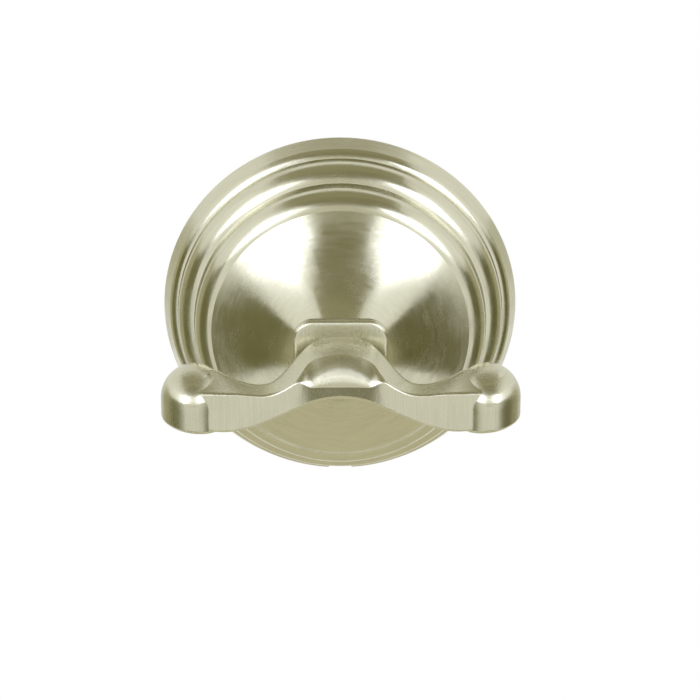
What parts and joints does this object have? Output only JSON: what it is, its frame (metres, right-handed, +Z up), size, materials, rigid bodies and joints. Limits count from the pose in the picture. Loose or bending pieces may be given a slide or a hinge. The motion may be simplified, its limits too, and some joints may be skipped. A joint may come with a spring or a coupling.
{
  "type": "double robe hook",
  "caption": "Wall robe hook with a stepped round flange and a cast cross arm ending in domed knobs, hung on a hidden wall bracket and locked by a grub screw.",
  "frame": {"origin": "centre of the flange's back, on the wall", "axes": "+Z up, +Y into the wall, so the hook stands out towards -Y; X along the cross arm"},
  "size_m": [0.07, 0.0461, 0.0699],
  "materials": {
    "satin_nickel": "warm satin nickel plate over a zinc casting, lathe-brushed on the flange",
    "zinc_plated_steel": "bright zinc plate on pressed and turned steel",
    "dark_steel": "blackened steel"
  },
  "bodies": {
    "root": {"flange": "satin_nickel", "hook": "satin_nickel", "hook_screw": "zinc_plated_steel", "lock_washer": "zinc_plated_steel", "wall_bracket": "zinc_plated_steel", "set_screw": "dark_steel"}
  },
  "joints": []
}
